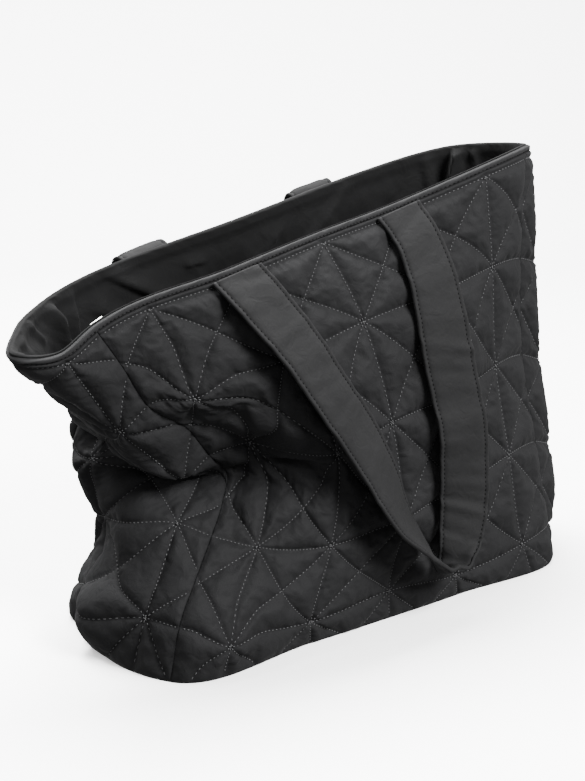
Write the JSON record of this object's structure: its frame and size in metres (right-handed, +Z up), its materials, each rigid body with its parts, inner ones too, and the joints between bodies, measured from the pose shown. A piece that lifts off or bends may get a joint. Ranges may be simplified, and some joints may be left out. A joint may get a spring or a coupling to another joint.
{
  "type": "quilted tote bag",
  "caption": "Soft black quilted tote bag, slumped to its left, with flat webbing handles, a bound rim, a plain lining and a zip end at the rim.",
  "frame": {"origin": "middle of the flat underside of the base, on the floor", "axes": "+X runs right along the front as a viewer facing the front sees it, +Y points to the back, +Z is up"},
  "size_m": [0.5345, 0.2643, 0.3626],
  "materials": {
    "quilt": "matte, soft nylon sheen",
    "lining": "plain matte cloth",
    "webbing": "matte woven",
    "binding": "matte, rolled edge",
    "zip_cloth": "matte tape",
    "steel": "polished"
  },
  "bodies": {
    "root": {"front_panel": "quilt", "right_gusset": "quilt", "back_panel": "quilt", "left_gusset": "quilt", "bottom_panel": "quilt", "lining": "lining", "rim_binding": "binding", "front_handle": "webbing", "back_handle": "webbing", "zip_tape": "zip_cloth", "zip_slider": "steel", "zip_puller": "zip_cloth"}
  },
  "joints": []
}
